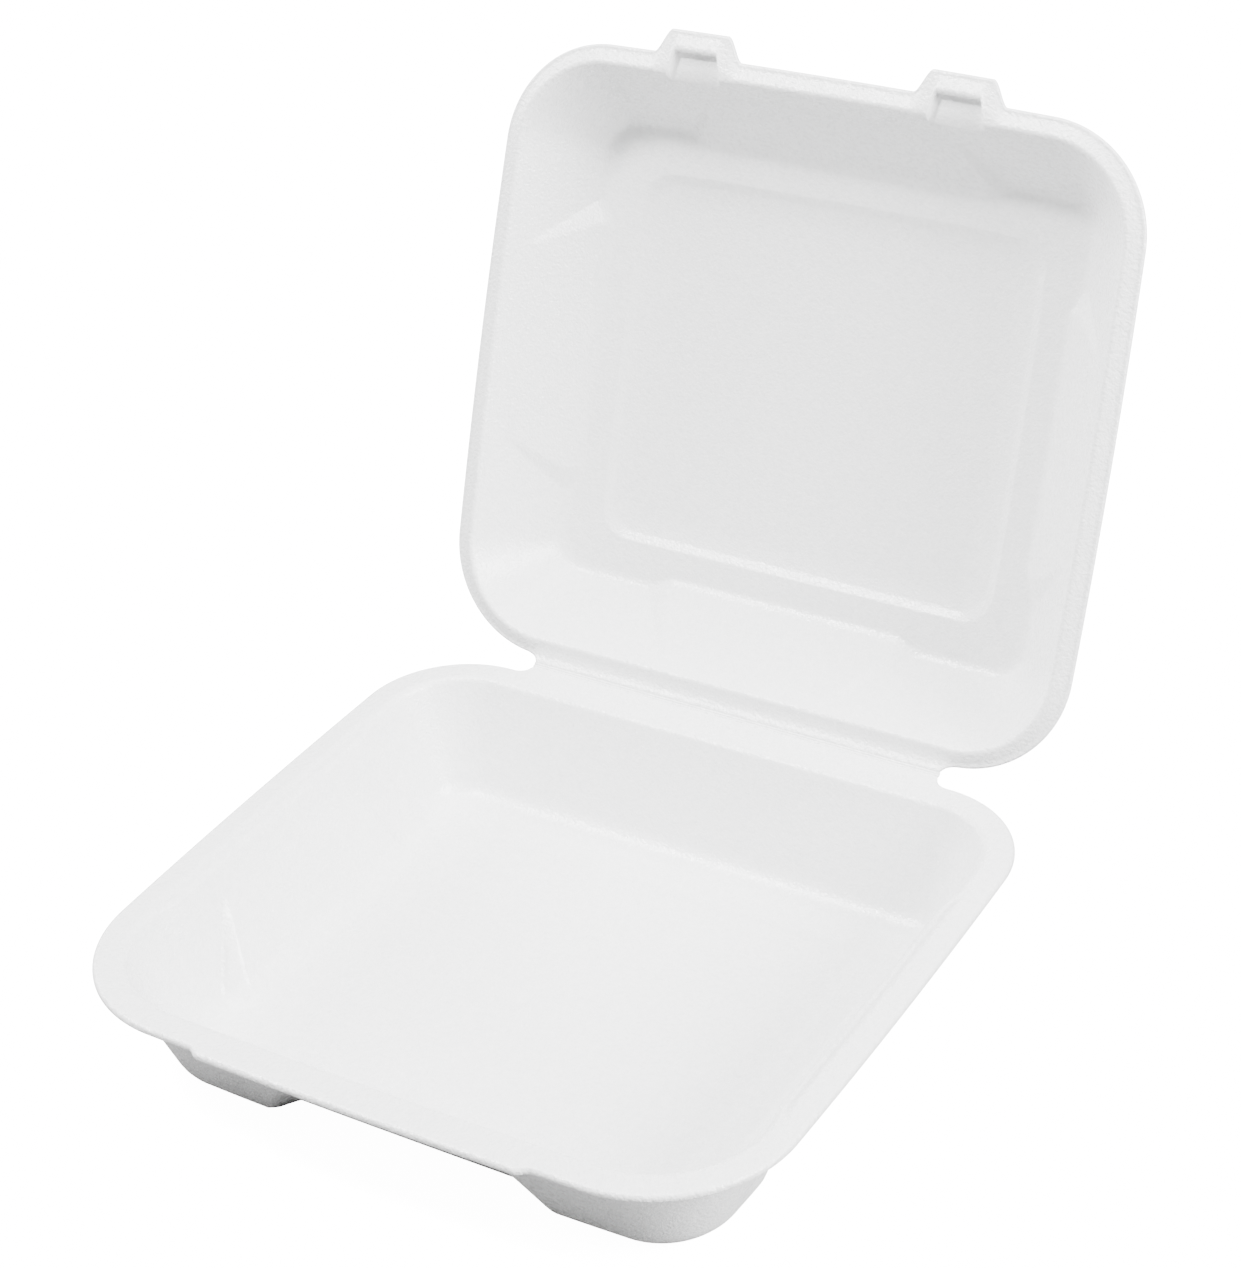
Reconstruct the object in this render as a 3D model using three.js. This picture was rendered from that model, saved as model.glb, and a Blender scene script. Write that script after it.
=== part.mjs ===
// A takeaway box of white foam sheet: a tray and a lid, formed from one sheet and joined by a
// fold along the tray's back rim. Millimetres, +Z up, +X along the fold, the fold at +Y.
// The origin is the middle of the tray's flat underside. The lid stands open.

import * as THREE from 'three';

// The foam sheet, which the lid's forming draws thinner
const traySheet = 2.2;
const lidSheet = 1.3;
const sheetColor = 0xf6f6f4;
const sheetRoughness = 0.5;

// The tray
const trayWidth = 205;
const trayDepth = 186;
const trayHeight = 36;
const trayBackCorner = 31;
const trayFrontCorner = 39;
const trayFlange = 8.5;
const trayFlangeBend = 2.4;
const trayWallRun = 13;
const trayFootBend = 8;
const trayPanelInset = 7;
const trayPanelStart = 8;
const trayFloorBand = 15;
const trayFloorStep = 0.5;
const trayPanelHalf = 28;

// The shelf inside the tray's side rims, where the edge of the closed lid lies
const sideFlange = 7.3;
const shelfWidth = 2.2;
const shelfDrop = 0.9;
const shelfHalf = 44;
const shelfFade = 8;
const shelfStepRun = 0.7;
const shelfStepGap = 0.6;

// The lip along the middle of the tray's front rim, which the lid's tabs catch
const lipReach = 2;
const lipHalf = 47;
const lipFade = 2;

// The fold, pressed thin along its line
const trayFoldGap = 4;
const lidFoldGap = 2.5;
const foldHalf = 66.5;
const foldFade = 3;
const foldSheet = 0.7;
const foldClearance = 0.25;
const foldRise = 0.3;
const foldEdgeDrop = 0.05;
const openAngle = 111;

// The lid
const lidSideInset = 3;
const lidFrontInset = 7;
const lidCorner = 32;
const lidBand = 5.5;
const lidBandDrop = 1.9;
const lidBandBend = 1.45;
const lidBeadWidth = 0.8;
const lidBeadDrop = 1.5;
const lidHeight = 25;
const lidWallRun = 16.7;
const lidFootBend = 5;
const lidPanelInset = 3.2;
const lidPanelStart = 6;
const lidFloorBand = 12.5;
const lidFloorStep = 1.5;
const lidPanelHalf = 28;
const lidFrontPanelHalf = 35;

// The two tabs on the lid's front edge, each with a pocket behind its outer band
const tabCentre = 40.5;
const tabReach = 6.8;
const tabHalf = 14;
const tabShoulder = 8.8;
const tabBand = 5.2;
const pocketDepth = 3.1;
const pocketHalf = 6.5;
const pocketFade = 2;

// Shapes that both shells share
const panelSpread = 11;
const panelFacet = 6;
const panelFacetTop = 1.2;
const edgeRound = 1.3;
const edgeDrop = 0.7;
const innerCorner = 9;
const sideBow = 0.7;
const stepWidth = 3;

// Sizes worked out from the ones above
const lidWidth = trayWidth - 2 * lidSideInset;
const lidDepth = trayDepth + trayFoldGap - lidFoldGap - lidFrontInset;
const foldY = trayDepth / 2 + trayFoldGap;
const foldZ = trayHeight + foldRise;

const clamp = (value) => Math.min(1, Math.max(0, value));
const mix = (a, b, share) => a + (b - a) * share;
// 1 inside the limit, falling to 0 over the fade beyond it
const within = (distance, limit, fade) => clamp((limit + fade - distance) / fade);

// Points of an arc that rounds the corner between two straight legs of a profile
function bend(before, corner, after, radius, steps) {
  const origin = new THREE.Vector2(corner.inset, corner.height);
  const back = new THREE.Vector2(before.inset, before.height).sub(origin).normalize();
  const ahead = new THREE.Vector2(after.inset, after.height).sub(origin).normalize();
  const half = Math.acos(back.dot(ahead)) / 2;
  const bisector = back.clone().add(ahead).normalize();
  const centre = bisector.multiplyScalar(radius / Math.sin(half)).add(origin);
  const first = back.multiplyScalar(radius / Math.tan(half)).add(origin).sub(centre);
  const last = ahead.multiplyScalar(radius / Math.tan(half)).add(origin).sub(centre);
  const sweep = Math.atan2(first.cross(last), first.dot(last));
  const points = [];
  for (let step = 0; step <= steps; step += 1) {
    const turned = first.clone().rotateAround(new THREE.Vector2(), (sweep * step) / steps);
    points.push({ ...corner, inset: centre.x + turned.x, height: centre.y + turned.y });
  }
  return points;
}

// The face one sheet thickness outside an inner face, point for point
function outerFace(points, sheet) {
  return points.map((point, index) => {
    const legs = index === 0 ? [new THREE.Vector2(0, -1)] : [];
    for (const [a, b] of [[points[index - 1], point], [point, points[index + 1]]]) {
      if (a && b) {
        const along = new THREE.Vector2(b.inset - a.inset, b.height - a.height).normalize();
        legs.push(new THREE.Vector2(-along.y, along.x));
      }
    }
    const middle = legs[0].clone().add(legs[legs.length - 1]).normalize();
    const reach = sheet / middle.dot(legs[0]);
    return { ...point, inset: point.inset + middle.x * reach, height: point.height + middle.y * reach };
  });
}

// A whole profile: inner face from the middle to the rim, the rounded edge, outer face back.
// Points carry band: 1 on the rim band, edge: 1 where the outline itself moves, and lean:
// how much of a wall panel's inset they take. The underside limits how low the outer face goes.
function closeProfile(inner, rimHeight, sheet, underside) {
  const rim = { inset: 0, band: 1, edge: 1, lean: 0 };
  const outer = outerFace(inner, sheet);
  for (const point of outer) {
    point.height = Math.max(point.height, underside);
  }
  return [
    ...inner,
    { ...rim, height: rimHeight - edgeDrop, foldDepth: 0 },
    { ...rim, height: rimHeight - sheet, foldDepth: foldSheet },
    ...outer.reverse(),
  ];
}

function trayProfile() {
  const floor = traySheet;
  const wall = { band: 0, edge: 0 };
  const foot = { ...wall, inset: trayFlange + trayWallRun, height: floor };
  const top = { ...wall, inset: trayFlange, height: trayHeight, shelf: shelfWidth, drop: shelfDrop };
  const step = { ...wall, inset: foot.inset + trayFloorBand, height: floor, flat: true };
  const wallTurn = Math.atan2(trayHeight - floor, trayWallRun);
  const bendStart = trayFlange - trayFlangeBend * Math.tan(wallTurn / 2) - shelfStepGap;
  const panelTop = trayHeight - trayPanelStart;
  const slope = trayWallRun / (trayHeight - floor);
  const flangeEnd = { ...wall, band: 1, inset: bendStart - shelfStepRun, height: trayHeight };
  const shelfShift = sideFlange - flangeEnd.inset;
  const inner = [
    { ...step, inset: step.inset + stepWidth, height: floor - trayFloorStep },
    step,
    ...bend(step, foot, top, trayFootBend, 3),
    { ...wall, inset: top.inset + slope * trayPanelStart, height: panelTop, shelf: shelfWidth },
    ...bend(foot, top, flangeEnd, trayFlangeBend, 2),
    { ...flangeEnd, inset: bendStart, shelf: shelfShift, drop: shelfDrop },
    { ...flangeEnd, shelf: shelfShift },
    { ...flangeEnd, edge: 1, inset: edgeRound },
  ];
  for (const point of inner) {
    point.lean = point.flat ? 0 : clamp((panelTop - point.height) / (panelTop - floor));
  }
  return closeProfile(inner, trayHeight, traySheet, 0);
}

function lidProfile() {
  const wall = { band: 0, edge: 0 };
  const bead = { ...wall, inset: lidBand + lidBeadWidth, height: -lidBeadDrop };
  const foot = { ...wall, inset: bead.inset + lidWallRun, height: -lidHeight };
  const step = { ...wall, inset: foot.inset + lidFloorBand, height: -lidHeight, flat: true };
  const crest = { band: 1, edge: 0, inset: lidBand, height: 0 };
  const edge = { band: 1, edge: 1, inset: edgeRound, height: -lidBandDrop };
  const slope = lidWallRun / (lidHeight - lidBeadDrop);
  const wallInset = (depth) => bead.inset + slope * (depth - lidBeadDrop);
  const onWall = (depth) => ({ ...wall, inset: wallInset(depth), height: -depth });
  const inner = [
    { ...step, inset: step.inset + stepWidth, height: -lidHeight - lidFloorStep },
    step,
    ...bend(step, foot, bead, lidFootBend, 3),
    onWall(lidPanelStart),
    onWall(pocketDepth),
    { ...bead, pocket: 1 },
    ...bend(bead, crest, edge, lidBandBend, 2),
    edge,
  ];
  for (const point of inner) {
    const share = (-lidPanelStart - point.height) / (lidHeight - lidPanelStart);
    point.lean = point.flat ? 0 : clamp(share);
  }
  return closeProfile(inner, -lidBandDrop, lidSheet, -Infinity);
}

// Places along a straight side, and round a corner, where the outline has points
const panelStops = (half) => [-half - panelFacet, -half, 0, half, half + panelFacet];
const lipStops = [-lipHalf - lipFade, -lipHalf, lipHalf, lipHalf + lipFade];
const shelfStops = [-shelfHalf - shelfFade, -shelfHalf, shelfHalf, shelfHalf + shelfFade];
const slopeShares = [0, 0.35, 0.65, 1];
const tabSlope = slopeShares.map((share) => mix(tabShoulder, tabHalf, share));
const tabEdges = [pocketHalf, ...tabSlope];
const tabStops = [...tabEdges.map((stop) => -stop), 0, ...tabEdges];
const foldEnd = slopeShares.map((share) => foldHalf + foldFade * share);
const foldStops = [...foldEnd.map((stop) => -stop), ...foldEnd];
// Degrees turned round a corner: the back corners have finer steps beside the fold's ends
const foldTurns = [0, 3, 6, 10, 20, 35, 52, 70];
const frontTurns = [0, 11, 22, 34, 45, 56, 68, 79];

// The stations of an outline, anticlockwise from the front left corner
function outlineStations(shell, frontStops, sideStops) {
  const stations = [];
  const side = (name, stops) => {
    const inside = [...stops].sort((a, b) => a - b);
    const forward = name === 'front' || name === 'right';
    for (const along of forward ? inside : inside.reverse()) {
      stations.push({ name, along });
    }
  };
  const corner = (x, y, start, turns) => {
    for (const turn of turns) {
      stations.push({ x, y, angle: THREE.MathUtils.degToRad(start + turn) });
    }
  };
  const backTurns = [...foldTurns.map((turn) => 90 - turn)].reverse();
  side('front', frontStops);
  corner(1, -1, 270, [...frontTurns, 90]);
  side('right', sideStops);
  corner(1, 1, 0, [0, ...backTurns]);
  const backReach = shell.width / 2 - shell.backCorner;
  const backFoldStops = foldStops.filter((stop) => Math.abs(stop) < backReach);
  side('back', [...panelStops(shell.panelHalf), ...backFoldStops]);
  corner(-1, 1, 90, [...foldTurns, 90]);
  side('left', sideStops);
  corner(-1, -1, 180, [...frontTurns, 90]);
  return stations;
}

// A side panel leans in from the wall and grows wider towards the floor, as do its end facets
function panelLean(point, along, half, depth) {
  const edge = half + panelSpread * point.lean;
  const facet = mix(panelFacetTop, panelFacet, point.lean);
  return depth * point.lean * within(Math.abs(along), edge - facet / 2, facet);
}

const onSide = (station) => station.name === 'left' || station.name === 'right';

function shapeTray(point, station) {
  const place = { inset: point.inset, height: point.height, reach: 0 };
  if (station.name === 'front') {
    place.reach = lipReach * point.edge * within(Math.abs(station.along), lipHalf, lipFade);
  }
  if (onSide(station)) {
    const shelf = within(Math.abs(station.along), shelfHalf, shelfFade);
    place.inset += (point.shelf ?? 0) * shelf;
    place.height -= (point.drop ?? 0) * shelf;
  }
  if (onSide(station) || station.name === 'front') {
    place.inset += panelLean(point, station.along, trayPanelHalf, trayPanelInset);
  }
  return place;
}

function shapeLid(point, station) {
  const place = { inset: point.inset, height: point.height, reach: 0 };
  if (station.name) {
    const half = station.name === 'front' ? lidFrontPanelHalf : lidPanelHalf;
    place.inset += panelLean(point, station.along, half, lidPanelInset);
  }
  const fromTab = Math.abs(Math.abs(station.along) - tabCentre);
  if (station.name === 'front' && fromTab <= tabHalf) {
    const rise = within(fromTab, tabShoulder, tabHalf - tabShoulder);
    const hollow = (point.pocket ?? 0) * within(fromTab, pocketHalf, pocketFade);
    place.reach = tabReach * point.band * rise * rise * (3 - 2 * rise);
    place.inset += hollow * (tabBand - tabReach - point.inset + (point.band ? 0 : lidBeadWidth / 2));
    place.height += hollow * (lidBeadDrop - pocketDepth);
  }
  return place;
}

// Where a ring passes a station: each ring is the outline drawn in by its inset
function ringPoint(shell, point, station) {
  const place = shell.shape(point, station);
  const front = station.y === -1 || station.name === 'front' || (onSide(station) && station.along < 0);
  const corner = front ? shell.frontCorner : shell.backCorner;
  const radius = Math.max(corner - place.inset, innerCorner);
  const fullX = shell.width / 2 - corner;
  const fullY = shell.depth / 2 - corner;
  const runX = shell.width / 2 - place.inset - radius;
  const runY = shell.depth / 2 - place.inset - radius;
  const at = new THREE.Vector3(0, 0, place.height);
  if (station.name === 'front' || station.name === 'back') {
    const bow = station.name === 'front' ? sideBow * (1 - (station.along / fullX) ** 2) : 0;
    at.x = (station.along * runX) / fullX;
    at.y = (runY + radius + place.reach + bow) * (station.name === 'front' ? -1 : 1);
  } else if (station.name) {
    const bow = sideBow * (1 - (station.along / fullY) ** 2);
    at.x = (runX + radius + place.reach + bow) * (station.name === 'left' ? -1 : 1);
    at.y = (station.along * runY) / fullY;
  } else {
    at.x = station.x * runX + Math.cos(station.angle) * radius;
    at.y = station.y * runY + Math.sin(station.angle) * radius;
  }
  return foldEdge(shell, point, at);
}

// The rim reaches back to the fold and is pressed thin there
function foldEdge(shell, point, at) {
  if (at.y > 0 && point.edge) {
    const share = within(Math.abs(at.x), foldHalf, foldFade);
    const edgeY = shell.depth / 2 + shell.foldGap - foldClearance - point.inset;
    at.y = mix(at.y, edgeY, share);
    if (point.foldDepth !== undefined) {
      at.z = mix(at.z, shell.foldHeight - point.foldDepth, share);
    }
  }
  return at;
}

// A closed shell: rings of the profile joined round the outline, closed in the middle of each face
function shellGeometry(shell) {
  const count = shell.stations.length;
  const positions = [];
  for (const point of shell.profile) {
    for (const station of shell.stations) {
      positions.push(...ringPoint(shell, point, station).toArray());
    }
  }
  const inside = positions.length / 3;
  positions.push(0, 0, shell.profile[0].height);
  const outside = positions.length / 3;
  positions.push(0, 0, shell.profile[shell.profile.length - 1].height);
  const faces = [];
  const lastRing = (shell.profile.length - 1) * count;
  for (let index = 0; index < count; index += 1) {
    const next = (index + 1) % count;
    faces.push(inside, index, next);
    for (let ring = 0; ring < shell.profile.length - 1; ring += 1) {
      const here = ring * count;
      const beyond = here + count;
      faces.push(here + index, beyond + index, beyond + next);
      faces.push(here + index, beyond + next, here + next);
    }
    faces.push(outside, lastRing + next, lastRing + index);
  }
  const geometry = new THREE.BufferGeometry();
  geometry.setAttribute('position', new THREE.Float32BufferAttribute(positions, 3));
  geometry.setIndex(faces);
  geometry.computeVertexNormals();
  return geometry;
}

function foamMesh(name, shell) {
  const foam = new THREE.MeshStandardMaterial({
    color: sheetColor,
    roughness: sheetRoughness,
    metalness: 0,
  });
  const mesh = new THREE.Mesh(shellGeometry(shell), foam);
  mesh.name = name;
  return mesh;
}

const trayShell = {
  width: trayWidth,
  depth: trayDepth,
  frontCorner: trayFrontCorner,
  backCorner: trayBackCorner,
  panelHalf: trayPanelHalf,
  foldGap: trayFoldGap,
  foldHeight: foldZ - foldEdgeDrop,
  profile: trayProfile(),
  shape: shapeTray,
};
const trayPanelStops = panelStops(trayPanelHalf);
const traySideStops = [...trayPanelStops, ...shelfStops];
trayShell.stations = outlineStations(trayShell, [...trayPanelStops, ...lipStops], traySideStops);

const lidShell = {
  width: lidWidth,
  depth: lidDepth,
  frontCorner: lidCorner,
  backCorner: lidCorner,
  panelHalf: lidPanelHalf,
  foldGap: lidFoldGap,
  foldHeight: -foldEdgeDrop,
  profile: lidProfile(),
  shape: shapeLid,
};
const frontTabStops = tabStops.flatMap((stop) => [stop - tabCentre, stop + tabCentre]);
lidShell.stations = outlineStations(lidShell, [...frontTabStops, 0], panelStops(lidPanelHalf));

const box = new THREE.Group();
box.add(foamMesh('base_tray', trayShell));

// The lid is drawn with its fold edge at +Y, so it is turned about before it is hung on the fold
const lid = foamMesh('lid', lidShell);
lid.rotation.z = Math.PI;
lid.position.y = lidFoldGap + lidDepth / 2;
const hinge = new THREE.Group();
hinge.position.set(0, foldY, foldZ);
hinge.rotation.x = THREE.MathUtils.degToRad(180 - openAngle);
hinge.add(lid);
box.add(hinge);

export default box;
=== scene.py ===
# %% [markdown]
# # An open takeaway box of white foam
# The real box is one sheet of foamed plastic, pressed warm between two moulds. A tray lies on the
# table, and a shallow lid stands open on a fold along the tray's back rim. Two tabs on the lid's
# front edge catch a lip on the tray's front rim when the box is shut.
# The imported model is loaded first: it is the fixed frame, and what is made here rides on its bodies.

import math

import bpy
import numpy as np
from mathutils import Matrix, Quaternion, Vector


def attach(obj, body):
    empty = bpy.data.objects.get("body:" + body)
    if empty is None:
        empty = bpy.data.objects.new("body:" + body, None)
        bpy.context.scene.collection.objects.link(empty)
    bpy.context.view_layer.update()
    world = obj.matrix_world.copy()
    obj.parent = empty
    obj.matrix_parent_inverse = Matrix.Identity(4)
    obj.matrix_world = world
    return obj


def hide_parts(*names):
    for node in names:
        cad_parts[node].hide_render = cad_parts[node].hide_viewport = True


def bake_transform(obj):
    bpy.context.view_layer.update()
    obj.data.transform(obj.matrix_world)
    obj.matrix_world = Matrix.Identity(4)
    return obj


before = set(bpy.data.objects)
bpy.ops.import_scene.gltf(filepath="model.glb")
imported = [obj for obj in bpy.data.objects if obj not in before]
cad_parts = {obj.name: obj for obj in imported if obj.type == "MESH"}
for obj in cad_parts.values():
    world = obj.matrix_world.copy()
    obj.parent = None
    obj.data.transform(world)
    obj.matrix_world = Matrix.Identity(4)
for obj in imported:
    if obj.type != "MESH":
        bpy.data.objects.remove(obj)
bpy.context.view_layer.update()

# %% [markdown]
# ## Sizes
# A thin pressed sheet has few sizes: the outline of each half, the sheet's thickness, and a profile
# from the middle of the floor to the rim. They are the CAD part's own, in millimetres, so that each
# skin lies where its CAD solid is. A metre is the scene's unit, so meshes are scaled at the end.
# The four sides of an outline are numbered from the front, anticlockwise. A corner is 0.

# %% Sizes in millimetres
MM = 0.001

tray_sheet, tray_width, tray_depth, tray_height = 2.2, 205.0, 186.0, 36.0
tray_back_corner, tray_front_corner = 31.0, 39.0
tray_flange, tray_flange_bend, tray_wall_run, tray_foot_bend = 8.5, 2.4, 13.0, 8.0
tray_panel_inset, tray_panel_start, tray_floor_band, tray_floor_step = 7.0, 8.0, 15.0, 0.5
side_flange, shelf_width, shelf_drop, shelf_half, shelf_fade = 7.3, 2.2, 0.9, 44.0, 8.0
shelf_step_run, shelf_step_gap = 0.7, 0.6
lip_reach, lip_half, lip_fade, lip_bend = 2.0, 47.0, 2.0, 2.0
tray_panel_half = 28.0

tray_fold_gap, lid_fold_gap, fold_half = 4.0, 2.5, 66.5
fold_sheet, fold_clearance, fold_rise, open_angle = 0.7, 0.25, 0.3, 111.0
fold_run, fold_bite, fold_edge_drop = 3.5, 4.5, 0.05

lid_sheet, lid_side_inset, lid_front_inset, lid_corner, lid_height = 1.3, 3.0, 7.0, 32.0, 25.0
lid_band, lid_band_drop, lid_band_bend, lid_bead_width, lid_bead_drop = 5.5, 1.9, 1.45, 0.8, 1.5
lid_wall_run, lid_foot_bend, lid_panel_inset, lid_panel_start = 16.7, 5.0, 3.2, 6.0
lid_floor_band, lid_floor_step, lid_step_round, lid_bead_round = 12.5, 1.5, 1.6, 0.4
lid_panel_half, lid_front_panel_half = 28.0, 35.0
tab_centre, tab_reach, tab_half, tab_shoulder, tab_band = 40.5, 6.8, 14.0, 8.8, 5.2
pocket_depth, pocket_half, pocket_fade = 3.1, 6.5, 2.0

panel_spread, panel_facet, panel_facet_top = 11.0, 6.0, 1.2
edge_round, inner_corner = 1.3, 9.0
side_bow, step_width = 0.7, 3.0

FRONT, RIGHT, BACK, LEFT = 1, 2, 3, 4

lid_width = tray_width - 2 * lid_side_inset
lid_depth = tray_depth + tray_fold_gap - lid_fold_gap - lid_front_inset
fold_y = tray_depth / 2 + tray_fold_gap
fold_z = tray_height + fold_rise
print("tray", tray_width, "x", tray_depth, "mm, lid", lid_width, "x", lid_depth, "mm")

# %% [markdown]
# ## The camera
# The view is from the front right and above, with a long lens, as in a product picture. The place
# and the aim come from fitting the outlines of the two rims. The picture is 1241 by 1268 pixels and
# the lens is set over the longer side, the height. The camera is tilted a few degrees.

# %% Camera
image_height = 1268
focal_pixels = 3107.8
camera_place = Vector((377.9, -549.5, 528.6)) * MM
camera_aim = Vector((-12.55, 61.27, 81.37)) * MM
camera_tilt = -3.77

camera_data = bpy.data.cameras.new("camera")
camera_data.sensor_width = 36.0
camera_data.lens = focal_pixels / image_height * camera_data.sensor_width
camera_data.clip_start, camera_data.clip_end = 0.01, 20.0
camera = bpy.data.objects.new("camera", camera_data)
bpy.context.scene.collection.objects.link(camera)
turn = (camera_aim - camera_place).to_track_quat("-Z", "Y")
tilt = Quaternion((0, 0, 1), math.radians(camera_tilt))
camera.rotation_mode = "QUATERNION"
camera.rotation_quaternion = turn @ tilt
camera.location = camera_place
bpy.context.scene.camera = camera
print("camera", round((camera_aim - camera_place).length, 3), "m from its aim")


# %% [markdown]
# ## A pressed sheet as a grid
# Each half is one closed skin. Its grid has two parameters. One runs along the profile: from the
# middle of the floor over the wall to the rim, round the edge, and back under the sheet. The other
# runs round the outline. Modelling the box by extruding faces would also work, but then each
# rounding, panel and tab would be pushed about by hand, and the sheet's thickness would wander.
# The profile comes first: a line through a few corners, each rounded by its own radius.

# %% Profile helpers
shortest_step = 1e-6


def unit(vector):
    """A vector divided by its length."""
    return vector / np.linalg.norm(vector)


def rounded(corners, radii, gap, arc_steps):
    """Points (inset, height) along a line through corners, each corner an arc of its radius.

    An arc's centre lies on the bisector of its two legs at radius / sin(half angle). Straight runs
    get a point at least every gap. The third column is the corner's number, running from one to the
    next, so that other values can be read off along the line.
    """
    corners = np.asarray(corners, float)
    parts = [np.r_[corners[0], 0.0][None]]
    for number in range(1, len(corners) - 1):
        before, here, after = corners[number - 1 : number + 2]
        if radii[number] == 0:
            parts.append(np.r_[here, number][None])
            continue
        back, ahead = unit(before - here), unit(after - here)
        half = math.acos(np.clip(back @ ahead, -1, 1)) / 2
        centre = here + unit(back + ahead) * radii[number] / math.sin(half)
        first = here + back * radii[number] / math.tan(half) - centre
        last = here + ahead * radii[number] / math.tan(half) - centre
        sweep = math.atan2(first[0] * last[1] - first[1] * last[0], first @ last)
        angle = np.linspace(0, sweep, arc_steps + 1)
        arc_x = centre[0] + first[0] * np.cos(angle) - first[1] * np.sin(angle)
        arc_y = centre[1] + first[0] * np.sin(angle) + first[1] * np.cos(angle)
        parts.append(np.c_[arc_x, arc_y, np.full(angle.shape, number)])
    parts.append(np.r_[corners[-1], len(corners) - 1.0][None])
    line = np.concatenate(parts)
    run = np.r_[0, np.cumsum(np.hypot(*np.diff(line[:, :2], axis=0).T))]
    keep = np.r_[True, np.diff(run) > shortest_step]
    run, line = run[keep], line[keep]
    counts = np.maximum(1, np.ceil(np.diff(run) / gap)).astype(int)
    steps = [np.linspace(a, b, n, endpoint=False) for a, b, n in zip(run[:-1], run[1:], counts)]
    run_dense = np.r_[np.concatenate(steps), run[-1]]
    return np.stack([np.interp(run_dense, run, column) for column in line.T], axis=1)


def offset(line, sheet):
    """The line one sheet thickness outside: each point moved along the line's normal."""
    along = np.gradient(line[:, :2], axis=0)
    along[0] = (-1, 0)
    along[-1] = (-1, 0)
    along /= np.linalg.norm(along, axis=1)[:, None]
    return line[:, :2] + sheet * np.c_[-along[:, 1], along[:, 0]]


def smooth(share):
    """0 to 1 with a gentle start and end: 3 s squared minus 2 s cubed, s held between 0 and 1."""
    share = np.clip(share, 0, 1)
    return share * share * (3 - 2 * share)


def within(distance, limit, fade):
    """1 up to the limit, falling in a straight line to 0 over the fade beyond it."""
    return np.clip((limit + fade - distance) / fade, 0, 1)


# %% [markdown]
# ## The outline
# A station is a place on the outline. It has a share of the straight run in x and in y, and the
# direction in which the outline faces there. With these four numbers a ring at any inset can be
# drawn at once, corners and all. Stations crowd about the marks, where the shape changes quickly,
# and towards the back end of the back corners, where the fold begins.

# %% Outline stations
fine_spacing, end_margin, back_crowding = 0.5, 0.1, 1.7


def outline(width, depth, front_corner, back_corner, spacing, corner_steps, marks):
    """Stations anticlockwise from the front left: x share, y share, normal x, normal y, distance
    along the side from its middle, and the side's number."""
    half_x_front, half_x_back = width / 2 - front_corner, width / 2 - back_corner
    reach_front, reach_back = depth / 2 - front_corner, depth / 2 - back_corner

    def run(start, end, marks):
        """Even places from start to end, with finer ones about each mark (place, half width)."""
        count = max(2, int(round((end - start) / spacing)))
        places = [np.linspace(start, end, count + 1)]
        for place, half_width in marks:
            fine = int(round(2 * half_width / fine_spacing))
            places.append(np.linspace(place - half_width, place + half_width, fine))
            places.append(-places[-1])
        places = np.round(np.concatenate(places), 2)
        inside = (places > start + end_margin) & (places < end - end_margin)
        return np.unique(places[inside])

    def side(number, along, share, face):
        """The stations of one straight side, which faces one way."""
        columns = np.zeros((len(along), 6))
        across = 0 if number in (FRONT, BACK) else 1
        columns[:, across] = share
        columns[:, 1 - across] = face[1 - across]
        columns[:, 2], columns[:, 3] = face
        columns[:, 4] = along
        columns[:, 5] = number
        return columns

    def corner(x, y, start):
        """The stations of one corner: a quarter turn from the start angle in degrees."""
        share = np.linspace(0, 1, corner_steps + 1)
        if y > 0:
            share = share**back_crowding if x < 0 else 1 - (1 - share) ** back_crowding
        angle = np.radians(start + 90 * share)
        flat = np.ones_like(angle)
        return np.c_[x * flat, y * flat, np.cos(angle), np.sin(angle), 0 * flat, 0 * flat]

    front = run(-half_x_front, half_x_front, marks[FRONT])
    back = run(-half_x_back, half_x_back, marks[BACK])[::-1]
    right = run(-reach_front, reach_back, marks[RIGHT])
    left = right[::-1]

    def share_y(along):
        """The share of the straight run in y, from -1 at the front to 1 at the back."""
        return np.where(along > 0, along / reach_back, along / reach_front)

    return np.concatenate([
        side(FRONT, front, front / half_x_front, (0, -1)),
        corner(1, -1, 270),
        side(RIGHT, right, share_y(right), (1, 0)),
        corner(1, 1, 0),
        side(BACK, back, back / half_x_back, (0, 1)),
        corner(-1, 1, 90),
        side(LEFT, left, share_y(left), (-1, 0)),
        corner(-1, -1, 180),
    ])


def ring_sizes(shell, inset):
    """The corner's radius at each inset, and half the straight run in x and in y. The radius is the
    corner's own, less the inset, and never under the inner corner's."""
    at_back = shell["stations"][:, 1] > 0
    corner = np.where(at_back, shell["back_corner"], shell["front_corner"])
    radius = np.maximum(corner - inset, inner_corner)
    run_x = shell["width"] / 2 - inset - radius
    run_y = shell["depth"] / 2 - inset - radius
    return radius, run_x, run_y


def place_rings(shell, inset, height, reach):
    """Points in millimetres for a grid of insets, heights and outward reaches.

    x = x share * half run + normal x * (radius + reach + bow), and y likewise. The front and the
    two sides bow out a little in the middle, and the back stays straight for the fold.
    """
    st = shell["stations"]
    x_share, y_share, normal_x, normal_y, side = st[:, 0], st[:, 1], st[:, 2], st[:, 3], st[:, 5]
    radius, run_x, run_y = ring_sizes(shell, inset)
    bowed = (side == FRONT) | (side == RIGHT) | (side == LEFT)
    share = np.where(side == FRONT, x_share, y_share)
    bow = np.where(bowed, side_bow * (1 - share**2), 0)
    x = x_share * run_x + normal_x * (radius + reach + bow)
    y = y_share * run_y + normal_y * (radius + reach + bow)
    return np.stack([x, y, height], axis=-1)


# %% [markdown]
# ## Wall panels
# The middle of each wall leans in further than its ends, so the wall has a flat panel with a small
# slanting facet at each end. The panel widens towards the floor. The grid's lines are slid sideways
# to run along the facets, so that their edges stay crisp.

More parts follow.
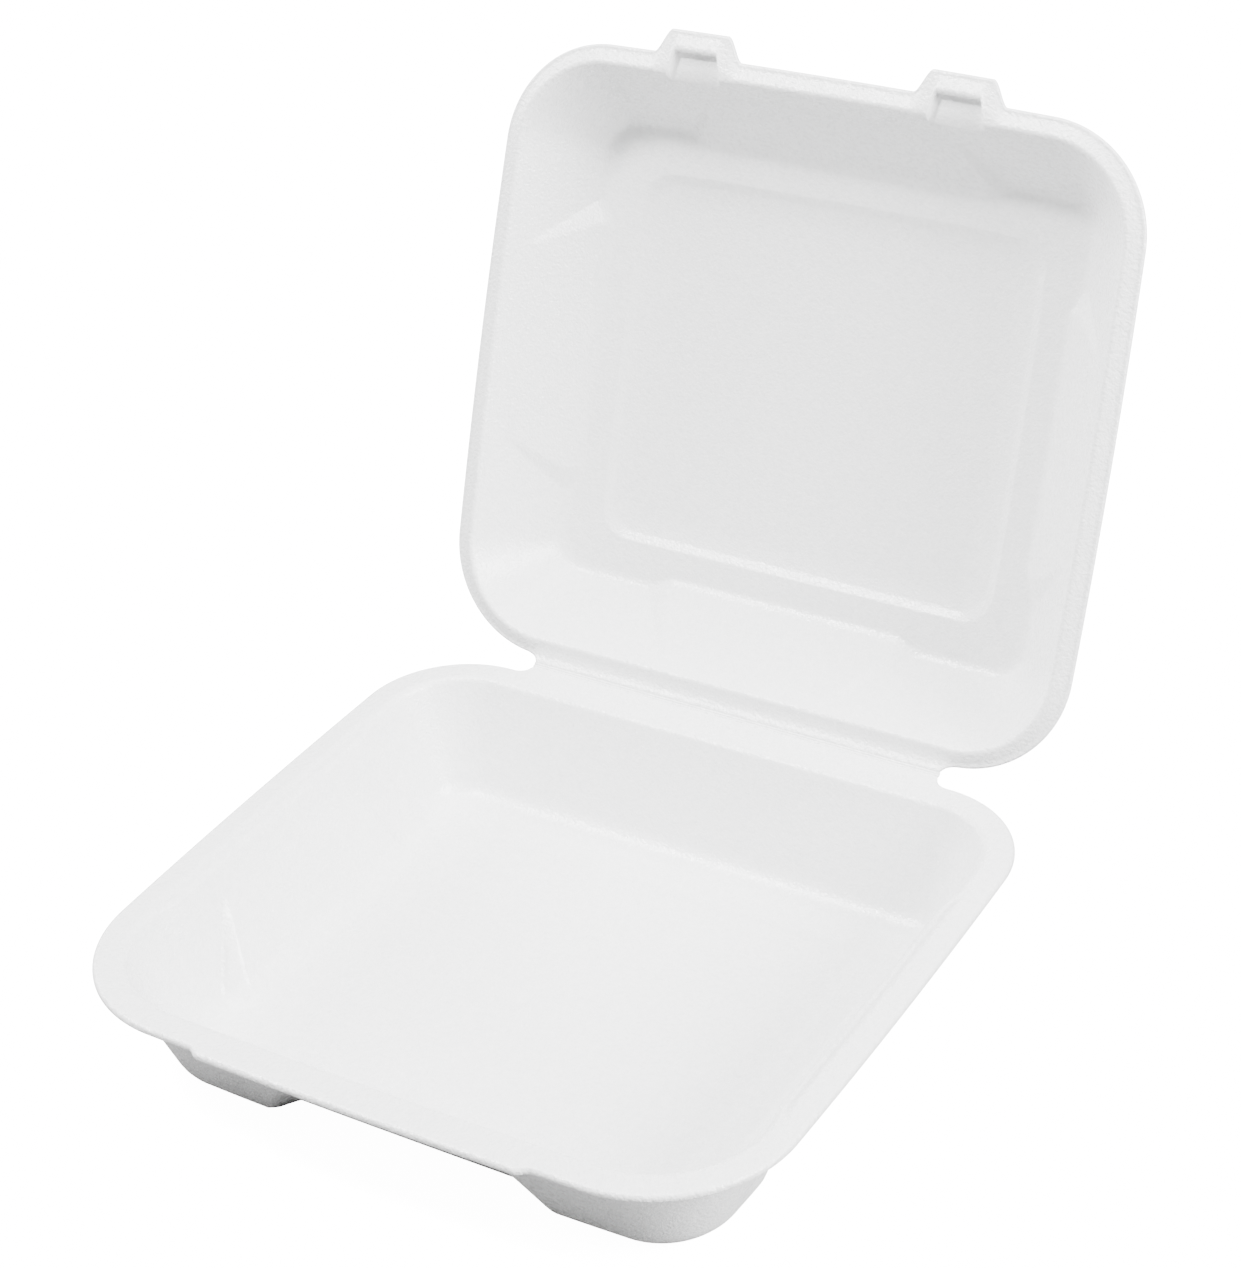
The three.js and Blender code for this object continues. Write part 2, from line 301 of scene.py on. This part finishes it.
# %% Panels
def panel_slide(shell, share_down):
    """How far stations move along their side, and how far the side runs from its middle. The move
    is the panel's spread times the share of the way down the wall, full at the facets and falling
    to nothing at the middle and at the ends of the side. On the floor it keeps its value, because
    a slide that fell away there would fold the floor over itself."""
    st = shell["stations"]
    along, side = st[:, 4], st[:, 5].astype(int)
    half = shell["panel_half"][side]
    front_run = shell["width"] / 2 - shell["front_corner"]
    back_run = shell["width"] / 2 - shell["back_corner"]
    reach_back = shell["depth"] / 2 - shell["back_corner"]
    reach_front = shell["depth"] / 2 - shell["front_corner"]
    end = np.select([side == FRONT, side == BACK], [front_run, back_run],
                    np.where(along > 0, reach_back, reach_front))
    size = np.abs(along)
    outer = half + panel_facet_top
    inner_move = panel_spread * np.clip(size / np.maximum(half, 1), 0, 1)
    facet_move = (panel_facet - panel_facet_top) * np.clip((size - half) / panel_facet_top, 0, 1)
    fall = np.clip((end - size) / np.maximum(end - outer, 1), 0, 1)
    amount = np.where(side > 0, np.sign(along) * (inner_move + facet_move) * fall, 0)
    return share_down[:, None] * amount, end


def panel_lean(shell, lean, depth):
    """How far a wall leans in: depth times lean inside the panel, falling to 0 over the facet."""
    along, side = shell["stations"][:, 4], shell["stations"][:, 5].astype(int)
    share = smooth(within(np.abs(along), shell["panel_half"][side], panel_facet_top))
    return depth * lean[:, None] * np.where(shell["panel_half"][side] > 0, share, 0)


# %% [markdown]
# ## The tray's skin
# The tray has a flat rim, a shelf sunk inside its side rims, a lip on its front rim, leaning walls,
# a rounded foot and a floor that is pressed a little thinner in the middle.

# %% Tray profile and shape
nose_inset, nose_round_above, nose_round_below = 0.05, 0.55, 0.3
nose_gap, nose_arc_steps = 0.3, 6
profile_gap, profile_arc_steps = 1.0, 8


def close_profile(inner, values, rim_height, sheet, underside):
    """The whole profile: inner face, rounded edge (the nose), and outer face back, which stays
    above the underside. Each value is read off at the corner numbers of the inner face, and keeps
    its last reading round the edge."""
    outer = offset(inner, sheet)
    outer[:, 1] = np.maximum(outer[:, 1], underside)
    last = inner[-1, 0]
    rim_low = rim_height - sheet
    nose = rounded(
        [(last, rim_height), (nose_inset, rim_height), (nose_inset, rim_low), (last, rim_low)],
        [0, nose_round_above * sheet, nose_round_below * sheet, 0], nose_gap, nose_arc_steps)
    nose = nose[1:-1]
    inset = np.r_[inner[:, 0], nose[:, 0], outer[::-1, 0]]
    height = np.r_[inner[:, 1], nose[:, 1], outer[::-1, 1]]
    profile = {"inset": inset, "height": height}
    for name, readings in values.items():
        column = np.interp(inner[:, 2], np.arange(len(readings)), readings)
        profile[name] = np.r_[column, np.full(len(nose), column[-1]), column[::-1]]
    return profile


def fade_to_floor(inset, foot, band):
    """1 on the wall and its foot, falling in a straight line to 0 at the floor's step."""
    return np.clip((foot + band - inset) / band, 0, 1)


def tray_profile():
    """Corners from the floor's step to the rim, with lean growing from the panel's top down."""
    floor = tray_sheet
    foot = (tray_flange + tray_wall_run, floor)
    top = (tray_flange, tray_height)
    step = (foot[0] + tray_floor_band, floor)
    panel_top = tray_height - tray_panel_start
    slope = tray_wall_run / (tray_height - floor)
    wall_turn = math.atan2(tray_height - floor, tray_wall_run)
    flange_start = tray_flange - tray_flange_bend * math.tan(wall_turn / 2) - shelf_step_gap
    shelf_shift = side_flange - (flange_start - shelf_step_run)
    corners = [
        (step[0] + step_width, floor - tray_floor_step),
        step,
        foot,
        (tray_flange + slope * tray_panel_start, panel_top),
        top,
        (flange_start, tray_height),
        (flange_start - shelf_step_run, tray_height),
        (edge_round, tray_height),
    ]
    radii = [0, 0, tray_foot_bend, 0, tray_flange_bend, 0, 0, 0]
    inner = rounded(corners, radii, profile_gap, profile_arc_steps)
    shelf = [0, 0, 0, shelf_width, shelf_width, shelf_shift, shelf_shift, 0]
    drop = [0, 0, 0, 0, shelf_drop, shelf_drop, 0, 0]
    profile = close_profile(inner, {"shelf": shelf, "drop": drop}, tray_height, tray_sheet, 0)
    profile["slide"] = np.clip((panel_top - profile["height"]) / (panel_top - floor), 0, 1)
    fade = fade_to_floor(profile["inset"], foot[0], tray_floor_band)
    profile["lean"] = profile["slide"] * fade
    return profile


def shape_tray(shell):
    """The tray's grid in millimetres, with shelf, lip, panels and fold edge in place."""
    profile, st = shell["profile"], shell["stations"]
    along, side = st[:, 4], st[:, 5]
    on_side = (side == RIGHT) | (side == LEFT)
    share = np.where(on_side, within(np.abs(along), shelf_half, shelf_fade), 0)
    inset = profile["inset"][:, None] + profile["shelf"][:, None] * share
    inset = inset + panel_lean(shell, profile["lean"], tray_panel_inset)
    height = profile["height"][:, None] - profile["drop"][:, None] * share
    lip_start = tray_flange - lip_bend
    near_edge = np.clip((lip_start - profile["inset"]) / (lip_start - edge_round), 0, 1)
    lip = np.where(side == FRONT, smooth(within(np.abs(along), lip_half, 2 * lip_fade)), 0)
    reach = lip_reach * near_edge[:, None] * lip
    return inset, height, reach


# %% [markdown]
# ## The lid's skin
# The lid has a rim band that slopes outward, a crest, and then a wall that drops to a stepped floor.
# Its front edge carries the two tabs, each with a pocket pressed in behind the tab's outer band.

# %% Lid profile and shape
def lid_profile():
    """Corners from the floor's step to the rim. The band's share is 1 from the crest outward, and
    the pocket's share is 1 at the bead, where the wall starts."""
    bead = (lid_band + lid_bead_width, -lid_bead_drop)
    foot = (bead[0] + lid_wall_run, -lid_height)
    step = (foot[0] + lid_floor_band, -lid_height)
    slope = lid_wall_run / (lid_height - lid_bead_drop)
    corners = [
        (step[0] + step_width, -lid_height - lid_floor_step),
        step,
        foot,
        (bead[0] + slope * (lid_panel_start - lid_bead_drop), -lid_panel_start),
        (bead[0] + slope * (pocket_depth - lid_bead_drop), -pocket_depth),
        bead,
        (lid_band, 0),
        (edge_round, -lid_band_drop),
    ]
    radii = [0, lid_step_round, lid_foot_bend, 0, 0, lid_bead_round, lid_band_bend, 0]
    inner = rounded(corners, radii, profile_gap, profile_arc_steps)
    values = {
        "band": [0, 0, 0, 0, 0, 0, 1, 1],
        "pocket": [0, 0, 0, 0, 0, 1, 0, 0],
    }
    profile = close_profile(inner, values, -lid_band_drop, lid_sheet, -math.inf)
    below_start = -lid_panel_start - profile["height"]
    profile["slide"] = np.clip(below_start / (lid_height - lid_panel_start), 0, 1)
    fade = fade_to_floor(profile["inset"], foot[0], lid_floor_band)
    profile["lean"] = profile["slide"] * fade
    return profile


def shape_lid(shell):
    """The lid's grid in millimetres, drawn with its fold at the back and its inner face upward."""
    profile, st = shell["profile"], shell["stations"]
    along, side = st[:, 4], st[:, 5]
    inset = profile["inset"][:, None] + panel_lean(shell, profile["lean"], lid_panel_inset)
    height = profile["height"][:, None] + np.zeros(len(st))
    from_tab = np.where(side == FRONT, np.abs(np.abs(along) - tab_centre), lid_width)
    rise = smooth(within(from_tab, tab_shoulder, tab_half - tab_shoulder))
    pocket = smooth(within(from_tab, pocket_half, pocket_fade))
    hollow = profile["pocket"][:, None] * pocket
    outward = np.clip((lid_band - profile["inset"]) / (lid_band - edge_round), 0, 1)[:, None]
    reach = tab_reach * profile["band"][:, None] * (outward * rise + (1 - outward) * pocket)
    inset = inset + hollow * (tab_band - tab_reach - lid_band - lid_bead_width / 2)
    height = height + hollow * (lid_bead_drop - pocket_depth)
    return inset, height, reach


# %% [markdown]
# ## The fold
# The two rims run back to one line, where the sheet is pressed thin so that it bends. There each
# skin stops a quarter of a millimetre short of the hinge's axis, as its solid does, and a narrow
# strip of thin sheet joins them. The strip is shaped in a fixed arc from the tray to the lid.

# %% Fold edge
def reach_fold(shell, points):
    """The rim's edge drawn back to the fold: its y runs out to the fold and its thickness shrinks,
    inside the fold's half width. The share is 1 at the edge and 0 where the flange begins. Beyond
    the half width it falls along a quarter circle, which leaves a rounded bite at each end."""
    profile = shell["profile"]
    inset = profile["inset"][:, None]
    beyond = np.clip((np.abs(points[..., 0]) - fold_half) / fold_bite, 0, 1)
    across = 1 - np.sqrt(1 - (1 - beyond) ** 2)
    behind = points[..., 1] > 0
    edge = np.clip((fold_run - inset) / fold_run, 0, 1)
    share = np.where(behind, across, 0)
    target = shell["depth"] / 2 + shell["fold_gap"] - fold_clearance
    flat_end = shell["depth"] / 2 - fold_run
    y = flat_end + edge * (target - flat_end)
    points[..., 1] += share * np.where(inset < fold_run, y - (shell["depth"] / 2 - inset), 0)
    rim = shell["rim_height"]
    depth_in = np.clip((rim - points[..., 2]) / shell["sheet"], 0, 1)
    goal = shell["fold_height"] - depth_in * fold_sheet
    points[..., 2] += share * smooth(edge) ** 2 * (goal - points[..., 2])
    return points


# %% Grid to mesh
def skin_mesh(name, grid, middle_in, middle_out, floor_shares):
    """A closed skin: grid rows are rings, and each end is drawn in to its middle by more rings and
    one last fan."""
    columns = grid.shape[1]
    first = middle_in + (grid[0] - middle_in) * floor_shares[:, None, None]
    last = middle_out + (grid[-1] - middle_out) * floor_shares[::-1, None, None]
    grid = np.concatenate([first, grid, last])
    rows = len(grid)
    points = np.concatenate([grid.reshape(-1, 3), middle_in[None], middle_out[None]]) * MM
    row, column = np.meshgrid(np.arange(rows - 1), np.arange(columns), indexing="ij")
    following = (column + 1) % columns
    quads = np.stack([
        row * columns + column,
        (row + 1) * columns + column,
        (row + 1) * columns + following,
        row * columns + following,
    ], axis=-1).reshape(-1, 4)
    ring = np.arange(columns)
    after = (ring + 1) % columns
    centre_in = np.full(columns, rows * columns)
    fan_in = np.stack([centre_in, ring, after], axis=1)
    last_ring = (rows - 1) * columns
    fan_out = np.stack([centre_in + 1, last_ring + after, last_ring + ring], axis=1)
    loops = np.concatenate([quads.ravel(), fan_in.ravel(), fan_out.ravel()]).astype(np.int32)
    sizes = np.r_[np.full(len(quads), 4), np.full(2 * columns, 3)].astype(np.int32)
    starts = np.r_[0, np.cumsum(sizes)[:-1]].astype(np.int32)
    mesh = bpy.data.meshes.new(name)
    mesh.vertices.add(len(points))
    mesh.vertices.foreach_set("co", points.astype(np.float32).ravel())
    mesh.loops.add(len(loops))
    mesh.loops.foreach_set("vertex_index", loops)
    mesh.polygons.add(len(sizes))
    mesh.polygons.foreach_set("loop_start", starts)
    mesh.polygons.foreach_set("use_smooth", np.ones(len(sizes), bool))
    mesh.update(calc_edges=True)
    mesh.validate()
    print(name, len(points), "points", sum(sizes - 2), "triangles")
    return mesh


def add_object(name, mesh):
    """An object at the origin that shows the mesh."""
    made = bpy.data.objects.new(name, mesh)
    bpy.context.scene.collection.objects.link(made)
    return made


def build_shell(shell):
    """The whole shell's grid: slid stations, shape, rings, and the fold edge."""
    side = shell["stations"][:, 5]
    inset, height, reach = shell["shape"](shell)
    slide, end = panel_slide(shell, shell["profile"]["slide"])
    moved_x = np.where((side == FRONT) | (side == BACK), slide / end, 0)
    moved_y = np.where((side == RIGHT) | (side == LEFT), slide / end, 0)
    points = place_rings(shell, inset, height, reach)
    run_x, run_y = ring_sizes(shell, inset)[1:]
    points[..., 0] += moved_x * run_x
    points[..., 1] += moved_y * run_y
    return reach_fold(shell, points)


# %% Make both skins
floor_rings, spacing, corner_steps = 8, 2.2, 32
facet_zone, lip_zone, tab_zone = 1.0, 3.0, 14.0
tray_fold_place, tray_fold_zone, lid_fold_zone = fold_half + 2.0, 3.0, 2.0
facet_middle = panel_facet_top / 2
side_facet = (tray_panel_half + facet_middle, facet_zone)
lid_side_facet = (lid_panel_half + facet_middle, facet_zone)
lid_front_facet = (lid_front_panel_half + facet_middle, facet_zone)

tray_shell = {
    "width": tray_width, "depth": tray_depth, "sheet": tray_sheet, "rim_height": tray_height,
    "front_corner": tray_front_corner, "back_corner": tray_back_corner,
    "fold_gap": tray_fold_gap, "fold_height": fold_z - fold_edge_drop,
    "band_width": tray_flange,
    "profile": tray_profile(), "shape": shape_tray,
    "panel_half": np.array([0, tray_panel_half, tray_panel_half, 0, tray_panel_half]),
    "stations": outline(tray_width, tray_depth, tray_front_corner, tray_back_corner,
                        spacing, corner_steps,
                        {FRONT: [side_facet, (lip_half + lip_fade, lip_zone)],
                         RIGHT: [side_facet],
                         BACK: [(tray_fold_place, tray_fold_zone)]}),
}
lid_shell = {
    "width": lid_width, "depth": lid_depth, "sheet": lid_sheet, "rim_height": -lid_band_drop,
    "front_corner": lid_corner, "back_corner": lid_corner,
    "fold_gap": lid_fold_gap, "fold_height": -fold_edge_drop,
    "band_width": lid_band + lid_bead_width,
    "profile": lid_profile(), "shape": shape_lid,
    "panel_half": np.array([0, lid_front_panel_half, lid_panel_half, lid_panel_half,
                            lid_panel_half]),
    "stations": outline(lid_width, lid_depth, lid_corner, lid_corner, spacing, corner_steps,
                        {FRONT: [lid_front_facet, (tab_centre, tab_zone)],
                         RIGHT: [lid_side_facet],
                         BACK: [lid_side_facet, (fold_half, lid_fold_zone)]}),
}


def middle_of(grid, row):
    """The point that the ring of this row closes on: the middle in x and y, at the ring's height."""
    return np.array([0.0, 0.0, grid[row, :, 2].mean()])


shares = np.linspace(0, 1, floor_rings + 1)[1:-1]
tray_grid = build_shell(tray_shell)
tray_skin = add_object("tray_skin", skin_mesh(
    "tray_skin", tray_grid, middle_of(tray_grid, 0), middle_of(tray_grid, -1), shares))

open_turn = math.radians(180 - open_angle)
hang_lid = (
    Matrix.Translation((0, fold_y * MM, fold_z * MM))
    @ Matrix.Rotation(open_turn, 4, "X")
    @ Matrix.Translation((0, (lid_fold_gap + lid_depth / 2) * MM, 0))
    @ Matrix.Rotation(math.pi, 4, "Z")
)
lid_grid = build_shell(lid_shell)
lid_skin = add_object("lid_skin", skin_mesh(
    "lid_skin", lid_grid, middle_of(lid_grid, 0), middle_of(lid_grid, -1), shares))
lid_skin.data.transform(hang_lid)


# %% [markdown]
# ## The fold strip
# It is a thin band whose section is an arc about the hinge's axis, tucked into both edges.

# %% Fold strip
strip_tuck, strip_inner, strip_outer = 0.6, 0.12, 0.62
strip_turns, strip_columns = 9, 90


def fold_strip():
    """A closed tube of rings across the fold: each ring is the strip's section, first along its
    inner face from the tray to the lid and then back along its outer face."""
    lean = math.radians(open_angle)
    lid_along = np.array([-math.cos(lean), math.sin(lean)])
    lid_out = np.array([math.sin(lean), math.cos(lean)])
    tray_along, tray_out = np.array([-1.0, 0.0]), np.array([0.0, -1.0])
    turns = np.linspace(0, 1, strip_turns)
    start, end = math.atan2(-1, 0), math.atan2(lid_out[1], lid_out[0])
    angle = start + (end - start) * turns
    outer_arc = strip_outer * np.c_[np.cos(angle), np.sin(angle)]
    inner_arc = strip_inner * np.c_[np.cos(angle), np.sin(angle)]
    inner = np.concatenate([[tray_along * strip_tuck + tray_out * strip_inner], inner_arc,
                            [lid_along * strip_tuck + lid_out * strip_inner]])
    outer = np.concatenate([[tray_along * strip_tuck + tray_out * strip_outer], outer_arc,
                            [lid_along * strip_tuck + lid_out * strip_outer]])
    section = np.concatenate([inner, outer[::-1]])
    x = np.linspace(-fold_half, fold_half, strip_columns)
    rings = np.stack([
        np.broadcast_to(x[:, None], (len(x), len(section))),
        np.broadcast_to(fold_y + section[:, 0], (len(x), len(section))),
        np.broadcast_to(fold_z + section[:, 1], (len(x), len(section))),
    ], axis=-1)
    middle_first = np.array([x[0], rings[0, :, 1].mean(), rings[0, :, 2].mean()])
    middle_last = np.array([x[-1], rings[0, :, 1].mean(), rings[0, :, 2].mean()])
    return rings, middle_first, middle_last


strip_rings, strip_first, strip_last = fold_strip()
strip = add_object("fold_strip", skin_mesh(
    "fold_strip", strip_rings, strip_first, strip_last, np.zeros(0)))

# %% [markdown]
# ## White foam
# Foamed plastic is a skin over fine bubbles: nearly white, with a soft sheen, and a grain like
# orange peel where the bubbles press through the skin. No light passes into it here: the soft
# shade comes from the lights. The grain reads the object's own coordinates, so it stays on the
# sheet.

# %% Foam material
def foam_material():
    """White foam: colour barely mottled by slow noise, and two sizes of bubble grain as bump. The
    coarse one is strongest where the attribute "band" is 1."""
    material = bpy.data.materials.new("white_foam")
    material.use_nodes = True
    nodes, links = material.node_tree.nodes, material.node_tree.links
    shader = nodes["Principled BSDF"]
    shader.inputs["IOR"].default_value = 1.6
    place = nodes.new("ShaderNodeTexCoord")

    def noise(scale, detail, rough):
        """A noise of so many cells to the metre, as the socket that gives it."""
        made = nodes.new("ShaderNodeTexNoise")
        made.inputs["Scale"].default_value = scale
        made.inputs["Detail"].default_value = detail
        made.inputs["Roughness"].default_value = rough
        links.new(place.outputs["Object"], made.inputs["Vector"])
        return made.outputs["Fac"]

    colour = nodes.new("ShaderNodeValToRGB")
    colour.color_ramp.elements[0].position, colour.color_ramp.elements[1].position = 0.35, 0.65
    colour.color_ramp.elements[0].color = (0.79, 0.795, 0.80, 1)
    colour.color_ramp.elements[1].color = (0.84, 0.84, 0.84, 1)
    links.new(noise(420, 3, 0.6), colour.inputs["Fac"])
    links.new(colour.outputs["Color"], shader.inputs["Base Color"])

    rough = nodes.new("ShaderNodeMapRange")
    rough.inputs["To Min"].default_value, rough.inputs["To Max"].default_value = 0.22, 0.34
    links.new(noise(700, 2, 0.5), rough.inputs["Value"])
    links.new(rough.outputs["Result"], shader.inputs["Roughness"])

    bubbles = nodes.new("ShaderNodeBump")
    bubbles.inputs["Distance"].default_value = 0.00035
    band = nodes.new("ShaderNodeAttribute")
    band.attribute_name = "band"
    coarse = nodes.new("ShaderNodeMapRange")
    coarse.inputs["To Min"].default_value, coarse.inputs["To Max"].default_value = 0.5, 1.0
    links.new(band.outputs["Fac"], coarse.inputs["Value"])
    links.new(coarse.outputs["Result"], bubbles.inputs["Strength"])
    links.new(noise(950, 2, 0.5), bubbles.inputs["Height"])
    grain = nodes.new("ShaderNodeBump")
    grain.inputs["Strength"].default_value = 0.6
    grain.inputs["Distance"].default_value = 0.0002
    links.new(noise(1500, 1, 0.5), grain.inputs["Height"])
    links.new(bubbles.outputs["Normal"], grain.inputs["Normal"])
    links.new(grain.outputs["Normal"], shader.inputs["Normal"])
    return material


def mark_band(mesh, shell):
    """An attribute that is 1 on the rim band and the edge, and 0 on the walls and the floor: the
    band is pressed hardest, so its grain is the coarsest."""
    profile = shell["profile"]
    row = (profile["inset"] < shell["band_width"]).astype(np.float32)
    columns = len(shell["stations"])
    plain = np.zeros(len(shares) * columns, np.float32)
    values = np.concatenate([plain, np.repeat(row, columns), plain, np.zeros(2, np.float32)])
    attribute = mesh.attributes.new("band", "FLOAT", "POINT")
    attribute.data.foreach_set("value", values)


mark_band(tray_skin.data, tray_shell)
mark_band(lid_skin.data, lid_shell)
foam = foam_material()
for piece in (tray_skin, lid_skin, strip):
    piece.data.materials.append(foam)
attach(tray_skin, "tray")
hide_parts("base_tray")
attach(lid_skin, "lid")
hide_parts("lid")
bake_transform(strip)

# %% [markdown]
# ## Floor and light
# The box lies on a plain pale floor. Seen straight from the camera the floor is white and glows.
# To light that bounces it is a dull grey without glow, so that it sends little light up, and the
# feet and the underside of the rims stay grey. The key light is at the front left,
# where the feet of the far walls mirror it towards the camera. An overhead light and two weak side
# lights fill the rest.

# %% Floor and lights
floor_half, floor_roughness = 20.0, 0.9
bounced_grey, seen_grey, seen_glow = 0.22, 0.98, 14.0
sky_strength = 0.12

floor_mesh = bpy.data.meshes.new("floor")
floor_mesh.from_pydata(
    [(-floor_half, -floor_half, 0), (floor_half, -floor_half, 0),
     (floor_half, floor_half, 0), (-floor_half, floor_half, 0)], [], [(0, 1, 2, 3)])
floor = add_object("floor", floor_mesh)
floor_paint = bpy.data.materials.new("floor_paint")
floor_paint.use_nodes = True
floor_nodes, floor_links = floor_paint.node_tree.nodes, floor_paint.node_tree.links
floor_shader = floor_nodes["Principled BSDF"]
floor_shader.inputs["Roughness"].default_value = floor_roughness
floor_shader.inputs["Emission Color"].default_value = (1, 1, 1, 1)
ray = floor_nodes.new("ShaderNodeLightPath")
grey = floor_nodes.new("ShaderNodeMapRange")
grey.inputs["To Min"].default_value = bounced_grey
grey.inputs["To Max"].default_value = seen_grey
glow = floor_nodes.new("ShaderNodeMapRange")
glow.inputs["To Min"].default_value = 0.0
glow.inputs["To Max"].default_value = seen_glow
for ramp, socket in ((grey, "Base Color"), (glow, "Emission Strength")):
    floor_links.new(ray.outputs["Is Camera Ray"], ramp.inputs["Value"])
    floor_links.new(ramp.outputs["Result"], floor_shader.inputs[socket])
floor_mesh.materials.append(floor_paint)

world = bpy.data.worlds.new("studio")
world.use_nodes = True
world.node_tree.nodes["Background"].inputs["Color"].default_value = (1, 1, 1, 1)
world.node_tree.nodes["Background"].inputs["Strength"].default_value = sky_strength
bpy.context.scene.world = world


def soft_light(name, place, aim, size, power):
    """A square area light that faces its aim: places and size in metres, power in watts."""
    data = bpy.data.lights.new(name, "AREA")
    data.shape = "SQUARE"
    data.size = size
    data.energy = power
    lamp = bpy.data.objects.new(name, data)
    bpy.context.scene.collection.objects.link(lamp)
    lamp.location = place
    lamp.rotation_euler = (Vector(aim) - Vector(place)).to_track_quat("-Z", "Y").to_euler()
    return lamp


soft_light("key", (-0.55, -0.50, 1.40), (0, 0.05, 0.06), 0.26, 62)
soft_light("overhead", (0.1, 0.0, 1.6), (0, 0.1, 0.05), 0.9, 30)
soft_light("right_side", (1.3, 0.1, 0.75), (0, 0.05, 0.08), 0.7, 88)
soft_light("left_side", (-1.3, 0.1, 0.75), (0, 0.05, 0.08), 0.7, 32)
